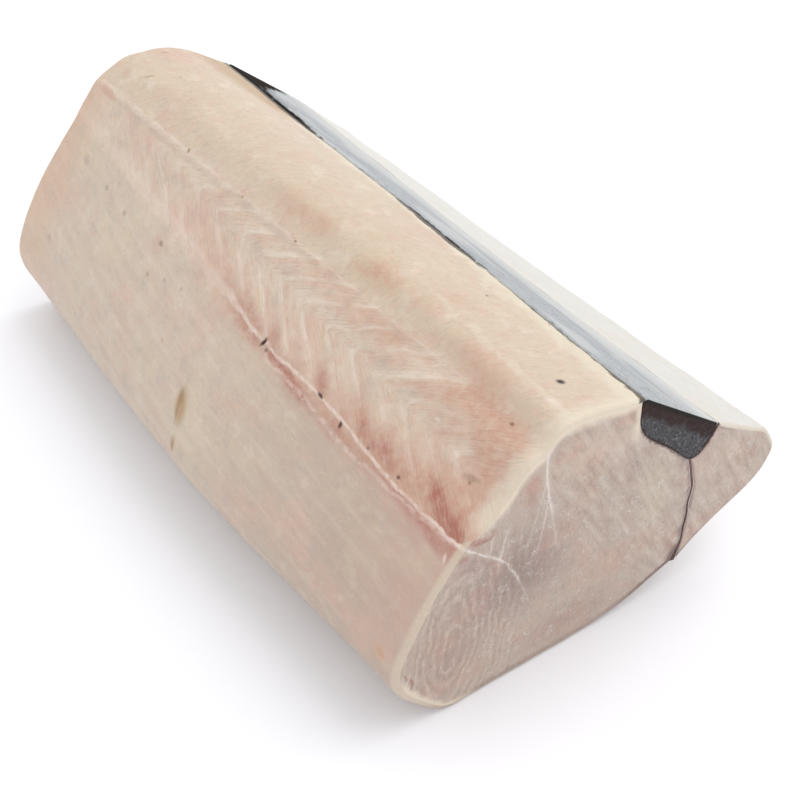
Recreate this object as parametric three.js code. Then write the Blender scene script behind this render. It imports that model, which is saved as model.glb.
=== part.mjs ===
import * as THREE from 'three';

// A block of raw swordfish belly, sawn from the side of the fish. Lengths are in millimetres.
// X runs along the block, and the end at +X is sawn square. Y runs across it, from the thick
// flank at -Y to the thin tip at +Y. Z is up, and the block lies on its flat underside.
//
// The layers run through the whole length: the large muscle, the wedge of muscle at the tip, a
// dark membrane between those two, and a band of dark muscle under the strip of skin on top.

const length = 300;
const farCutSlant = 0.2;         // the far end is sawn askew: X gained for each mm of Y
const stationCount = 25;         // sections along the length
const cornerSteps = 3;           // facets round a corner of the section
const membraneSteps = 7;         // facets down the membrane
const darkSteps = { left: 8, right: 5 };
const gap = 0.3;                 // kept between neighbouring layers

const skinThickness = 1.6;
const membraneThickness = 1.2;
const membraneBow = 4;           // how far the membrane bulges towards the tip
const darkDepthShare = 0.277;    // depth of the dark muscle, as a share of the skin's width
const darkLean = 0.77;           // its left side leans in by this for each mm of depth

// The sides of the dark muscle, as shares of the skin's width and of the muscle's depth.
const darkOutline = {
  left: [[0, 0], [0.07, 0.33], [0.17, 0.67], [0.34, 0.9], [0.66, 1], [0.9, 1.12], [0.975, 1.14]],
  right: [[1, 0], [1.03, 0.48], [1.03, 0.92], [0.975, 1.14]],
};

// Corners of the section, counter-clockwise as seen from +X. Each has its place [y, z] at the
// near end and at the far end, its bow [y, z] away from the line between them, and its rounding.
const corners = {
  flankLow: { near: [-91, 38], far: [-98, 36], bow: [-7, 0], rounding: 9 },
  flankFoot: { near: [-87.5, 23], far: [-96, 20], bow: [-5.5, -2], rounding: 10 },
  heel: { near: [-69, 0], far: [-83, 0], bow: [-6, 0], rounding: 8 },
  toe: { near: [10, 0], far: [2, 0], bow: [0, 0], rounding: 26 },
  membraneFoot: { near: [43.5, 14], far: [31, 9], bow: [0, 0], rounding: 0 },
  belly: { near: [60, 25], far: [45, 18], bow: [0, 0], rounding: 14 },
  tipUnder: { near: [85, 38], far: [67, 33], bow: [0, 0], rounding: 12 },
  tip: { near: [91, 52], far: [71, 44], bow: [0, 0], rounding: 4 },
  tipTop: { near: [84, 65.5], far: [65.5, 54], bow: [-0.5, -0.5], rounding: 3 },
  skinRight: { near: [55.3, 84.6], far: [42, 77.7], bow: [-1, -1], rounding: 0 },
  skinLeft: { near: [14.6, 120], far: [8, 108], bow: [0, 0.5], rounding: 0 },
  crown: { near: [-11, 127], far: [-15, 124], bow: [1, 1], rounding: 16 },
  ridge: { near: [-21.6, 126.6], far: [-37, 123.5], bow: [2, 1.5], rounding: 4 },
  lip: { near: [-27.2, 118.5], far: [-50, 115.4], bow: [0, 0], rounding: 5 },
  brow: { near: [-35, 116], far: [-53, 111.5], bow: [0, 0], rounding: 6 },
  hollow: { near: [-47, 100.5], far: [-57.5, 105], bow: [0, 0], rounding: 8 },
  seam: { near: [-62, 91.5], far: [-61, 99.5], bow: [-4, -2], rounding: 5 },
  flank: { near: [-78, 68], far: [-87.5, 62], bow: [-6, 0], rounding: 40 },
};
const cornerNames = Object.keys(corners);
const bowEase = 1.4;             // above 1, a bow starts gently at the ends

// The place of a corner, with t running from 0 at the near end to 1 at the far end.
function cornerAt(name, t) {
  const { near, far, bow } = corners[name];
  const bulge = Math.sin(Math.PI * t) ** bowEase;
  const y = THREE.MathUtils.lerp(near[0], far[0], t) + bow[0] * bulge;
  const z = THREE.MathUtils.lerp(near[1], far[1], t) + bow[1] * bulge;
  return new THREE.Vector2(y, z);
}

// A corner as a short curve. It starts no further than 0.45 of the way to each neighbour.
function roundedCorner(before, corner, after, rounding) {
  const reach = (other) => Math.min(rounding, 0.45 * corner.distanceTo(other));
  const towards = (other) => other.clone().sub(corner).setLength(reach(other)).add(corner);
  const curve = new THREE.QuadraticBezierCurve(towards(before), corner, towards(after));
  return curve.getPoints(cornerSteps);
}

// The outer outline from one named corner to another, with both ends in it.
function outerStretch(from, to, t) {
  const first = cornerNames.indexOf(from);
  const count = (cornerNames.indexOf(to) - first + cornerNames.length) % cornerNames.length;
  const nameAt = (step) => cornerNames[(first + step + cornerNames.length) % cornerNames.length];
  const points = [cornerAt(from, t)];
  for (let step = 1; step < count; step += 1) {
    const [before, corner, after] = [-1, 0, 1].map((side) => cornerAt(nameAt(step + side), t));
    points.push(...roundedCorner(before, corner, after, corners[nameAt(step)].rounding));
  }
  points.push(cornerAt(to, t));
  return points;
}

// Moves a line of points sideways, to its left as it runs when the distance is above zero.
function shifted(points, distance, closed = false) {
  const last = points.length - 1;
  const sideways = (from, to) => new THREE.Vector2(from.y - to.y, to.x - from.x).normalize();
  return points.map((point, i) => {
    const before = closed || i > 0 ? sideways(points.at(i - 1), point) : null;
    const after = closed || i < last ? sideways(point, points[(i + 1) % points.length]) : null;
    const mitre = (before ?? after).clone().add(after ?? before).normalize();
    return point.clone().addScaledVector(mitre, distance / mitre.dot(before ?? after));
  });
}

// Places on the strip of skin: u runs across it from its left edge, v runs down into the block.
function stripFrame(t) {
  const left = cornerAt('skinLeft', t);
  const across = cornerAt('skinRight', t).sub(left);
  const width = across.length();
  across.normalize();
  const down = new THREE.Vector2(across.y, -across.x);
  const place = (u, v) => left.clone().addScaledVector(across, u).addScaledVector(down, v);
  return { width, depth: darkDepthShare * width, place };
}

// The left and the right side of the dark muscle, from the skin down to where they meet.
function darkSides(t) {
  const { width, depth, place } = stripFrame(t);
  const side = (name) => {
    const points = darkOutline[name].map(([u, v]) => place(u * width, v * depth));
    return new THREE.SplineCurve(points).getPoints(darkSteps[name]);
  };
  return { left: side('left'), right: side('right') };
}

// The middle of the membrane, from the dark muscle down to the underside.
function membraneLine(t) {
  const top = darkSides(t).left.at(-1);
  const foot = cornerAt('membraneFoot', t);
  const middle = top.clone().lerp(foot, 0.5).add(new THREE.Vector2(2 * membraneBow, 0));
  return new THREE.QuadraticBezierCurve(top, middle, foot).getPoints(membraneSteps);
}

// A line beside the membrane's middle. Its first point drops by a share of the first facet, which
// leaves the corner under the dark muscle free.
function besideMembrane(t, distance, drop) {
  const line = shifted(membraneLine(t), distance);
  line[0].lerp(line[1], drop);
  return line;
}
const membraneHalf = membraneThickness / 2;
const bedDrop = 0.1;
const membraneDrop = 0.08;

// Points across the strip of skin at one depth, from its right edge to its left edge.
function acrossSkin(t, insetLeft, insetRight, depth) {
  const { width, place } = stripFrame(t);
  const edge = (share) => THREE.MathUtils.lerp(width - insetRight, insetLeft, share);
  return [0, 1 / 3, 2 / 3, 1].map((share) => place(edge(share), depth));
}

const sections = {
  largeMuscle(t) {
    const outer = outerStretch('skinLeft', 'membraneFoot', t).slice(0, -1);
    const inner = besideMembrane(t, -membraneHalf - gap, bedDrop).reverse();
    const top = darkSides(t).left.slice(1, -1).reverse();
    return [...outer, ...inner, ...top];
  },
  tipMuscle(t) {
    const outer = outerStretch('membraneFoot', 'skinRight', t).slice(1);
    const top = darkSides(t).right.slice(1, -1);
    return [...outer, ...top, ...besideMembrane(t, membraneHalf + gap, bedDrop)];
  },
  membrane(t) {
    const left = besideMembrane(t, -membraneHalf, membraneDrop);
    const right = besideMembrane(t, membraneHalf, membraneDrop);
    return [...left, ...right.reverse()];
  },
  darkMuscle(t) {
    const { left, right } = darkSides(t);
    const top = acrossSkin(t, darkLean * skinThickness, 0, skinThickness);
    const sides = [...left.slice(1), ...right.slice(1, -1).reverse()];
    return shifted([...top, ...sides], gap, true);
  },
  skin(t) {
    const inset = 2 * gap;
    const top = acrossSkin(t, inset, inset, 0);
    const under = acrossSkin(t, inset + darkLean * skinThickness, inset, skinThickness);
    return [...top, ...under.reverse()];
  },
};

// Where a point of the section at t lies. The sections turn from the square near end to the
// slanting far one.
function placed(point, t) {
  const run = length - farCutSlant * (point.x - corners.flankLow.far[0]);
  return new THREE.Vector3(length / 2 - t * run, point.x, point.y);
}

// A closed solid through the sections from the near end to the far end.
function lofted(sectionAt) {
  const vertices = [];
  const faces = [];
  const nearRing = sectionAt(0);
  const farRing = sectionAt(1);
  const around = nearRing.length;
  for (let station = 0; station < stationCount; station += 1) {
    const t = station / (stationCount - 1);
    for (const point of sectionAt(t)) vertices.push(placed(point, t));
  }
  for (let station = 0; station < stationCount - 1; station += 1) {
    for (let i = 0; i < around; i += 1) {
      const here = station * around + i;
      const next = station * around + (i + 1) % around;
      faces.push(here, here + around, next + around);
      faces.push(here, next + around, next);
    }
  }
  const farStart = (stationCount - 1) * around;
  for (const [a, b, c] of THREE.ShapeUtils.triangulateShape(nearRing, [])) faces.push(a, b, c);
  for (const [a, b, c] of THREE.ShapeUtils.triangulateShape(farRing, [])) {
    faces.push(farStart + a, farStart + c, farStart + b);
  }
  const geometry = new THREE.BufferGeometry().setFromPoints(vertices);
  geometry.setIndex(faces);
  geometry.computeVertexNormals();
  return geometry;
}

// Moist raw flesh, the darker muscle and the skin. None of them is metal.
const finishes = {
  paleFlesh: { color: 0xd5c1ab, roughness: 0.5 },
  darkFlesh: { color: 0x4b4646, roughness: 0.7 },
  membrane: { color: 0x5b3a40, roughness: 0.55 },
  skin: { color: 0xc9cbca, roughness: 0.4 },
};

function layer(name, sectionAt, finish) {
  const material = new THREE.MeshStandardMaterial({ ...finishes[finish], metalness: 0 });
  const mesh = new THREE.Mesh(lofted(sectionAt), material);
  mesh.name = name;
  return mesh;
}

const block = new THREE.Group();
block.add(
  layer('large_muscle', sections.largeMuscle, 'paleFlesh'),
  layer('tip_muscle', sections.tipMuscle, 'paleFlesh'),
  layer('dark_muscle', sections.darkMuscle, 'darkFlesh'),
  layer('membrane', sections.membrane, 'membrane'),
  layer('skin_strip', sections.skin, 'skin'),
);

// The origin is on the ground, under the middle of the block.
const middle = new THREE.Box3().setFromObject(block).getCenter(new THREE.Vector3());
block.position.set(-middle.x, -middle.y, 0);
block.updateMatrixWorld(true);

export default block;
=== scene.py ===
from math import cos, exp, floor, pi, radians, sin

import bmesh
import bpy
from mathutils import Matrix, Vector, noise


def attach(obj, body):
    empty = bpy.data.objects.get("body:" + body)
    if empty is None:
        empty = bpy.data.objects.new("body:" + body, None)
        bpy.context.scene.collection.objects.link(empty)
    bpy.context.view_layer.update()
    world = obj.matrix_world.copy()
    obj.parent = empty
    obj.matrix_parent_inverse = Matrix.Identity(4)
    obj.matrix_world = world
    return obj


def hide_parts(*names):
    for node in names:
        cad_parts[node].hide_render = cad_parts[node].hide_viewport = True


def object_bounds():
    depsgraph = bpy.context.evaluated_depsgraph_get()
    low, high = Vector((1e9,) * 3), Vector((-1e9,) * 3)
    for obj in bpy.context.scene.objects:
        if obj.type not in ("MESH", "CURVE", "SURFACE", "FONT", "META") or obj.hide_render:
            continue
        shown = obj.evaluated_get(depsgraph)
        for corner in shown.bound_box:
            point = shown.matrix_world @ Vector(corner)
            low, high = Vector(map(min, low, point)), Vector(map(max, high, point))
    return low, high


# A block of raw swordfish belly on a pale floor. Lengths are in metres. X runs along the block
# with the near cut at +X, Y runs across it towards the thin tip, and Z is up.

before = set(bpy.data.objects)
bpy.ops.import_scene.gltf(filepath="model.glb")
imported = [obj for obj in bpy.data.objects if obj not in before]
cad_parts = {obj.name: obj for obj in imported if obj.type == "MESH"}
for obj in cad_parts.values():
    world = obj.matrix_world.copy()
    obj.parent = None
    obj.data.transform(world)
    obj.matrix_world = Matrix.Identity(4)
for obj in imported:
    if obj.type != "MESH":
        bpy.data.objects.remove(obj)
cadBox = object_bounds()

mm = 0.001

# The form of the block, as in its solids. The corners of its section are in millimetres: each has
# its place (y, z) at the near and at the far cut, its bow off the line between, and its rounding.
block = {
    'length': 0.300,
    'farCutSlant': 0.2,        # the far end is sawn askew
    'bowEase': 1.4,            # above 1, a bow starts gently at the ends
    'cornerReach': 0.45,       # a corner's rounding takes this share of a side at most
    'skinThickness': 0.0016,
    'membraneThickness': 0.0012,
    'membraneBow': 0.004,
    'membraneWave': 0.0007,    # how far the membrane wanders off its curve
    'membraneFoot': 1.1,       # how much thicker it gets at its foot, as a share
    'darkDepthShare': 0.277,   # depth of the dark muscle, as a share of the skin's width
    'darkLean': 0.77,          # its left side leans in by this for each metre of depth
    # the sides of the dark muscle, as shares of the skin's width and of the muscle's depth
    'darkLeft': [(0, 0), (0.07, 0.33), (0.17, 0.67), (0.34, 0.9), (0.66, 1), (0.9, 1.12), (0.975, 1.14)],
    'darkRight': [(1, 0), (1.03, 0.48), (1.03, 0.92), (0.975, 1.14)],
    'corners': {
        'flankLow': ((-91, 38), (-98, 36), (-7, 0), 9),
        'flankFoot': ((-87.5, 23), (-96, 20), (-5.5, -2), 10),
        'heel': ((-69, 0), (-83, 0), (-6, 0), 8),
        'toe': ((10, 0), (2, 0), (0, 0), 26),
        'membraneFoot': ((43.5, 14), (31, 9), (0, 0), 0),
        'belly': ((60, 25), (45, 18), (0, 0), 14),
        'tipUnder': ((85, 38), (67, 33), (0, 0), 12),
        'tip': ((91, 52), (71, 44), (0, 0), 4),
        'tipTop': ((84, 65.5), (65.5, 54), (-0.5, -0.5), 3),
        'skinRight': ((55.3, 84.6), (42, 77.7), (-1, -1), 0),
        'skinLeft': ((14.6, 120), (8, 108), (0, 0.5), 0),
        'crown': ((-11, 127), (-15, 124), (1, 1), 16),
        'ridge': ((-21.6, 126.6), (-37, 123.5), (2, 1.5), 4),
        'lip': ((-27.2, 118.5), (-50, 115.4), (0, 0), 5),
        'brow': ((-35, 116), (-53, 111.5), (0, 0), 6),
        'hollow': ((-47, 100.5), (-57.5, 105), (0, 0), 8),
        'seam': ((-62, 91.5), (-61, 99.5), (-4, -2), 5),
        'flank': ((-78, 68), (-87.5, 62), (-6, 0), 40),
    },
}
cornerNames = list(block['corners'])


def lerp(a, b, share):
    return a + (b - a) * share


def inMetres(*values):
    return tuple(value * mm for value in values)


def cornerAt(name, t):  # t runs from 0 at the near cut to 1 at the far one
    near, far, bow, _ = block['corners'][name]
    bulge = sin(pi * t) ** block['bowEase'] if 0 < t < 1 else 0
    return Vector([(lerp(near[k], far[k], t) + bow[k] * bulge) * mm for k in (0, 1)])


def quadratic(start, control, end, steps):
    shares = [k / steps for k in range(steps + 1)]
    return [start.lerp(control, s).lerp(control.lerp(end, s), s) for s in shares]


def cornerCurve(name, t, steps=10):
    place = cornerNames.index(name)
    neighbours = [cornerNames[(place + k) % len(cornerNames)] for k in (-1, 0, 1)]
    before, here, after = [cornerAt(neighbour, t) for neighbour in neighbours]
    rounding = block['corners'][name][3] * mm
    if rounding == 0:
        return [here]
    ends = []
    for other in (before, after):
        away = other - here
        ends.append(here + away.normalized() * min(rounding, block['cornerReach'] * away.length))
    return quadratic(ends[0], here, ends[1], steps)


def stretch(fromName, toName, t):  # the outline between the middles of two neighbouring corners
    first, second = cornerCurve(fromName, t), cornerCurve(toName, t)
    return first[len(first) // 2:] + second[:len(second) // 2 + 1]


def splinePoints(points, steps):
    last = len(points) - 1
    made = []
    for k in range(steps + 1):
        run = last * k / steps
        i = min(floor(run), last - 1)
        s = run - i
        p0, p1, p2, p3 = [points[max(0, min(last, i + j))] for j in (-1, 0, 1, 2)]
        v0, v1 = (p2 - p0) / 2, (p3 - p1) / 2
        cubic = (2 * p1 - 2 * p2 + v0 + v1) * s ** 3
        made.append(cubic + (3 * p2 - 3 * p1 - 2 * v0 - v1) * s ** 2 + v0 * s + p1)
    return made


def shifted(points, distances):  # sideways, to the left of a line as it runs
    sideways = [Vector((a.y - b.y, b.x - a.x)).normalized() for a, b in zip(points, points[1:])]
    made = []
    for i, (point, distance) in enumerate(zip(points, distances)):
        before, after = sideways[max(0, i - 1)], sideways[min(len(sideways) - 1, i)]
        mitre = (before + after).normalized()
        made.append(point + mitre * (distance / mitre.dot(before)))
    return made


def stripFrame(t):  # u runs across the strip of skin from its left edge, v down into the block
    left, right = cornerAt('skinLeft', t), cornerAt('skinRight', t)
    across = (right - left).normalized()
    down = Vector((across.y, -across.x))
    width = (right - left).length
    return width, block['darkDepthShare'] * width, lambda u, v: left + across * u + down * v


def darkSide(side, t, steps=36):
    width, depth, place = stripFrame(t)
    return splinePoints([place(u * width, v * depth) for u, v in block[side]], steps)


def membraneSide(t, side, drop=0.0, steps=24):  # side is -1 or 1
    top, foot = darkSide('darkLeft', t)[-1], cornerAt('membraneFoot', t)
    control = top.lerp(foot, 0.5) + Vector((2 * block['membraneBow'], 0))
    shares = [k / steps for k in range(steps + 1)]
    wander = [sin(9 * s + 7 * t) + 0.6 * sin(23 * s - 5 * t + 1) for s in shares]
    middle = quadratic(top, control, foot, steps)
    middle = shifted(middle, [block['membraneWave'] * w * sin(pi * s) for w, s in zip(wander, shares)])
    half = block['membraneThickness'] / 2
    spread = [1 + block['membraneFoot'] * max(0, (s - 0.7) / 0.3) ** 2 - 0.2 * sin(pi * s) for s in shares]
    line = shifted(middle, [side * half * s for s in spread])
    line[0] = line[0].lerp(line[1], drop)
    return line


def resampled(points, count):  # the same line in equal steps
    lengths = [(b - a).length for a, b in zip(points, points[1:])]
    total = sum(lengths)
    made, i, passed = [points[0].copy()], 0, 0.0
    for k in range(1, count):
        wanted = total * k / count
        while i < len(lengths) - 1 and passed + lengths[i] < wanted:
            passed += lengths[i]
            i += 1
        made.append(points[i].lerp(points[i + 1], (wanted - passed) / lengths[i]))
    return made + [points[-1].copy()]


def runLength(y):  # the block's length at this place across it
    return block['length'] - block['farCutSlant'] * (y - block['corners']['flankLow'][1][0] * mm)


# Each layer's outline at t, as named stretches that start and end at the same point.
def largeMuscleLines(t):
    path = ['skinLeft', 'crown', 'ridge', 'lip', 'brow', 'hollow', 'seam', 'flank', 'flankLow', 'flankFoot',
            'heel', 'toe']
    inner = membraneSide(t, -1, 0.3)[::-1]
    lines = {'bed': darkSide('darkLeft', t)[:-1][::-1]}
    for name, following in zip(path, path[1:]):
        lines[name] = stretch(name, following, t)
    lines['toe'] = stretch('toe', 'membraneFoot', t)[:-1] + [inner[0]]
    lines['inner'] = inner
    lines['close'] = [inner[-1], lines['bed'][0]]
    return lines


def tipMuscleLines(t):
    path = ['belly', 'tipUnder', 'tip', 'tipTop', 'skinRight']
    inner = membraneSide(t, 1, 0.8)
    lines = {'inner': inner}
    lines['foot'] = [inner[-1]] + stretch('membraneFoot', 'belly', t)[1:]
    for name, following in zip(path, path[1:]):
        lines[name] = stretch(name, following, t)
    lines['bed'] = darkSide('darkRight', t)[:-2]
    lines['close'] = [lines['bed'][-1], inner[0]]
    return lines


def darkMuscleLines(t):
    width, _, place = stripFrame(t)
    thickness = block['skinThickness']
    top = [place(lerp(width, block['darkLean'] * thickness, k / 8), thickness) for k in range(9)]
    right = [top[0]] + darkSide('darkRight', t)[4:]
    left = [top[-1]] + darkSide('darkLeft', t)[4:]
    return {'right': right[::-1], 'top': top, 'left': left}


def membraneLines(t):
    left, right = membraneSide(t, -1), membraneSide(t, 1)
    foot, head = [left[-1], right[-1]], [right[0], left[0]]
    return {'left': left, 'foot': foot, 'right': right[::-1], 'head': head}


skinPiece = {
    'proud': 0.0003,
    'insetLeft': 0.0012,
    'insetRight': 0.0007,
    'wander': 0.0009,
    'edge': [(0, 0.0009), (0.0002, 0.0004), (0.0006, 0.0001)],  # inset and drop of its rounded edge
    'flatFrom': 0.0012,        # the flat starts this far in from a cut edge
    'underShare': 0.96,        # how deep its underside lies, as a share of its thickness
    'footShare': 0.97,         # the same at its cut edges
}


def skinLines(t):  # the cut edges wander a little, and the strip lies slightly proud
    width, _, place = stripFrame(t)
    proud, wander = skinPiece['proud'], skinPiece['wander']
    left = skinPiece['insetLeft'] + wander * noise.noise(Vector((t * 30, 0.3, 0)))
    right = skinPiece['insetRight'] + wander * noise.noise(Vector((t * 24, 7.1, 0)))
    thickness = block['skinThickness']
    leftUp = [place(left + step, drop - proud) for step, drop in skinPiece['edge']]
    rightUp = [place(width - right - step, drop - proud) for step, drop in skinPiece['edge']]
    flatRight, flatLeft = width - right - skinPiece['flatFrom'], left + skinPiece['flatFrom']
    middle = [place(lerp(flatRight, flatLeft, k / 30), -proud) for k in range(31)]
    top = rightUp + middle + leftUp[::-1]
    downward = (place(0, thickness + proud) - place(0, 0)) * skinPiece['underShare']
    under = [point + downward for point in top[3:-3]]
    footDepth = thickness * skinPiece['footShare']
    leftFoot, rightFoot = place(left, footDepth), place(width - right, footDepth)
    rightRun = [rightFoot, rightFoot.lerp(under[0], 0.3), rightFoot.lerp(under[0], 0.6)]
    leftRun = [leftFoot.lerp(under[-1], 0.6), leftFoot.lerp(under[-1], 0.3), leftFoot]
    under = rightRun + under + leftRun
    return {'top': top, 'left': [top[-1], under[-1]], 'under': under[::-1], 'right': [under[0], top[0]]}


# How each layer is meshed. 'steps' are the steps between points round it and 'rim' is how far the
# edge of its cut is rounded; a stretch that isn't named takes 'other'. 'centre' is where the cap at
# the near cut is drawn together, and it follows the 'anchors' along the block.
layers = {
    'large_muscle': {
        'lines': largeMuscleLines, 'along': 0.00125, 'capRows': (44, 22),
        'centre': (-0.030, 0.060), 'anchors': ('seam', 'seam', 'toe', 'skinLeft'),
        'steps': {'other': 0.0012, 'hollow': 0.0007, 'seam': 0.0008, 'heel': 0.004, 'toe': 0.0035,
                  'inner': 0.003, 'bed': 0.0018},
        'rim': {'other': 0.0022, 'seam': 0.0028, 'flank': 0.0034, 'flankLow': 0.0034,
                'flankFoot': 0.0034, 'toe': 0.0012, 'inner': 0.0003, 'bed': 0.0003, 'close': 0.0003},
    },
    'tip_muscle': {
        'lines': tipMuscleLines, 'along': 0.0015, 'capRows': (24, 16),
        'centre': (0.060, 0.050), 'anchors': ('membraneFoot', 'tip'),
        'steps': {'other': 0.0012, 'inner': 0.003, 'bed': 0.002},
        'rim': {'other': 0.0016, 'inner': 0.0003, 'bed': 0.0003, 'close': 0.0003},
    },
    'dark_muscle': {
        'lines': darkMuscleLines, 'along': 0.002, 'capRows': (24, 14),
        'centre': (0.0295, 0.0935), 'anchors': ('skinLeft', 'skinRight'),
        'steps': {'other': 0.0008},
        'rim': {'other': 0.0004, 'top': 0.0001},
    },
    'membrane': {
        'lines': membraneLines, 'along': 0.003, 'capRows': (2, 2), 'centre': None,
        'steps': {'other': 0.0012, 'foot': 0.005, 'head': 0.005},
        'rim': {'other': 0.0002},
    },
    'skin_strip': {
        'lines': skinLines, 'along': 0.0010, 'capRows': (2, 2), 'centre': None,
        'steps': {'other': 0.0012, 'left': 0.01, 'right': 0.01},
        'rim': {'other': 0.0003, 'under': 0.0001},
    },
}
rimRows = 4
rimPasses = 6               # how often the rim's width is averaged round the section
farRim = 0.45               # the rims of the far cut are this share of the near ones
mergeDistance = 2e-6
solidStations = 25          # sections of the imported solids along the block


def layerRing(lines, counts):
    ring, starts = [], {}
    for name, points in lines.items():
        starts[name] = len(ring)
        ring += resampled(points, counts[name])[:-1]
    return ring, starts


def lineLength(points):
    return sum((b - a).length for a, b in zip(points, points[1:]))


def capCentre(layer, t):
    moves = [cornerAt(name, t) - cornerAt(name, 0) for name in layer['anchors']]
    return Vector(layer['centre']) + sum(moves, Vector((0, 0))) / len(moves)


def insetPoint(outer, middle, distance):  # from the outline towards the middle of the cut
    inward = middle - outer
    return outer + inward.normalized() * min(distance, 0.8 * inward.length)


# A closed mesh through the sections: one grid, wrapped round and drawn together at both ends. It
# keeps for each vertex its place in the near section, how far it is turned onto the cut, its depth
# in from the outline, and its distance round the section from each of the marks.
def loft(name, marks):
    layer = layers[name]
    steps, rims = layer['steps'], layer['rim']
    nearLines = layer['lines'](0)
    counts = {line: max(1, round(lineLength(points) / steps.get(line, steps['other'])))
              for line, points in nearLines.items()}
    nearRing, starts = layerRing(nearLines, counts)
    columns = len(nearRing)
    stations = round(block['length'] / layer['along'])
    nearRows, farRows = layer['capRows']
    rows = nearRows + rimRows + stations + rimRows + farRows

    rim = []
    for line in nearLines:
        rim += [rims.get(line, rims['other'])] * counts[line]
    for _ in range(rimPasses):
        rim = [(rim[i - 1] + rim[i] + rim[(i + 1) % columns]) / 3 for i in range(columns)]

    rings = {}

    def ringAt(t):
        if t not in rings:
            ring, _ = layerRing(layer['lines'](t), counts)
            girth = [0.0]
            for a, b in zip(ring, ring[1:] + ring[:1]):
                girth.append(girth[-1] + (b - a).length)
            centre = capCentre(layer, t) if layer['centre'] else None
            inner = [centre or (ring[i] + ring[columns - 1 - i]) / 2 for i in range(columns)]
            rings[t] = ring, inner, girth
        return rings[t]

    def rowPlace(row):  # t, turn round the rim (1 is on the cut), share of the way inward
        if row < nearRows:
            return 0.0, 1.0, 1 - row / nearRows
        row -= nearRows
        if row < rimRows:
            return 0.0, 1 - row / rimRows, 0.0
        row -= rimRows
        if row <= stations:
            return row / stations, 0.0, 0.0
        row -= stations
        if row <= rimRows:
            return 1.0, row / rimRows, 0.0
        return 1.0, 1.0, (row - rimRows) / farRows

    bm = bmesh.new()
    fields = {field: bm.verts.layers.float.new(field) for field in ('cut', 'depth', *marks)}
    section = bm.verts.layers.float_vector.new('section')
    bmesh.ops.create_grid(bm, x_segments=columns, y_segments=rows, size=1)
    for vert in bm.verts:
        column = round((vert.co.x + 1) / 2 * columns)
        row = round((vert.co.y + 1) / 2 * rows)
        t, turn, inward = rowPlace(row)
        i = column % columns
        ring, inner, girth = ringAt(t)
        nearPoint, nearInner = ringAt(0.0)[0][i], ringAt(0.0)[1][i]
        rimHere = rim[i] * (farRim if t == 1 else 1)
        roundIn = rimHere * (1 - cos(turn * pi / 2))
        place, near = [insetPoint(outer, middle, roundIn).lerp(middle, inward)
                       for outer, middle in ((ring[i], inner[i]), (nearPoint, nearInner))]
        run = runLength(place.x)
        ends = rimHere * sin(turn * pi / 2)  # from the last station out to the flat of the cut
        x = block['length'] / 2 - rim[i] - t * (run - rim[i] - farRim * rim[i])
        vert.co = (x + ends * (1 if t < 0.5 else -1), place.x, place.y)
        for mark, line in marks.items():
            vert[fields[mark]] = girth[column] - girth[starts[line]]
        vert[section] = (0, near.x, near.y)
        vert[fields['cut']] = turn
        vert[fields['depth']] = inward * (inner[i] - ring[i]).length
    bmesh.ops.remove_doubles(bm, verts=bm.verts, dist=mergeDistance)
    bmesh.ops.recalc_face_normals(bm, faces=bm.faces)
    bmesh.ops.translate(bm, verts=bm.verts, vec=shift)
    bm.normal_update()
    return bm, fields, section


def centreShift():  # from the section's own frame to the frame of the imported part
    low, high = Vector((9, 9)), Vector((-9, -9))
    for k in range(solidStations):
        t = k / (solidStations - 1)
        for name in ('large_muscle', 'tip_muscle'):
            for points in layers[name]['lines'](t).values():
                for point in points:
                    x = block['length'] / 2 - t * runLength(point.x)
                    low = Vector((min(low.x, x), min(low.y, point.x)))
                    high = Vector((max(high.x, x), max(high.y, point.x)))
    middle = (low + high) / 2
    cadMiddle = (cadBox[0] + cadBox[1]) / 2
    return Vector((cadMiddle.x - middle.x, cadMiddle.y - middle.y, 0))


shift = centreShift()
print('section frame moved by', [round(v, 5) for v in shift])


def finishPiece(bm, node, material, cutMaterial=None):
    cut = bm.verts.layers.float['cut']
    for face in bm.faces:
        face.smooth = True
        if cutMaterial and min(vert[cut] for vert in face.verts) > 0.99:
            face.material_index = 1
    mesh = bpy.data.meshes.new(node + '_flesh')
    bm.to_mesh(mesh)
    bm.free()
    piece = bpy.data.objects.new(node + '_flesh', mesh)
    bpy.context.scene.collection.objects.link(piece)
    mesh.materials.append(material)
    if cutMaterial:
        mesh.materials.append(cutMaterial)
    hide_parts(node)
    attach(piece, 'root')
    triangles = sum(len(polygon.vertices) - 2 for polygon in mesh.polygons)
    print(piece.name, len(mesh.vertices), 'points', triangles, 'triangles')


# Small helpers for node trees. Each takes and gives sockets.
def isSocket(value):
    return isinstance(value, bpy.types.NodeSocket)


def addNode(tree, kind, inputs=None, **settings):
    made = tree.nodes.new(kind)
    for key, value in settings.items():
        setattr(made, key, value)
    for key, value in (inputs or {}).items():
        if isSocket(value):
            tree.links.new(value, made.inputs[key])
        else:
            made.inputs[key].default_value = value
    return made


def treeOf(*values):
    return next(value.id_data for value in values if isSocket(value))


def calc(operation, a, b=0.0, clamp=False):
    made = addNode(treeOf(a, b), 'ShaderNodeMath', {0: a, 1: b}, operation=operation, use_clamp=clamp)
    return made.outputs[0]


def times(first, *others):
    for other in others:
        first = calc('MULTIPLY', first, other)
    return first


def plus(first, *others):
    for other in others:
        first = calc('ADD', first, other)
    return first


def minus(a, b):
    return calc('SUBTRACT', a, b)


def sway(pattern, amount):  # a pattern from 0 to 1, as a drift to both sides
    return times(minus(pattern, 0.5), amount)


def smooth(value, low, high):
    inputs = {'Value': value, 'From Min': low, 'From Max': high}
    made = addNode(treeOf(value, low, high), 'ShaderNodeMapRange', inputs, interpolation_type='SMOOTHSTEP')
    return made.outputs['Result']


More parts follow.
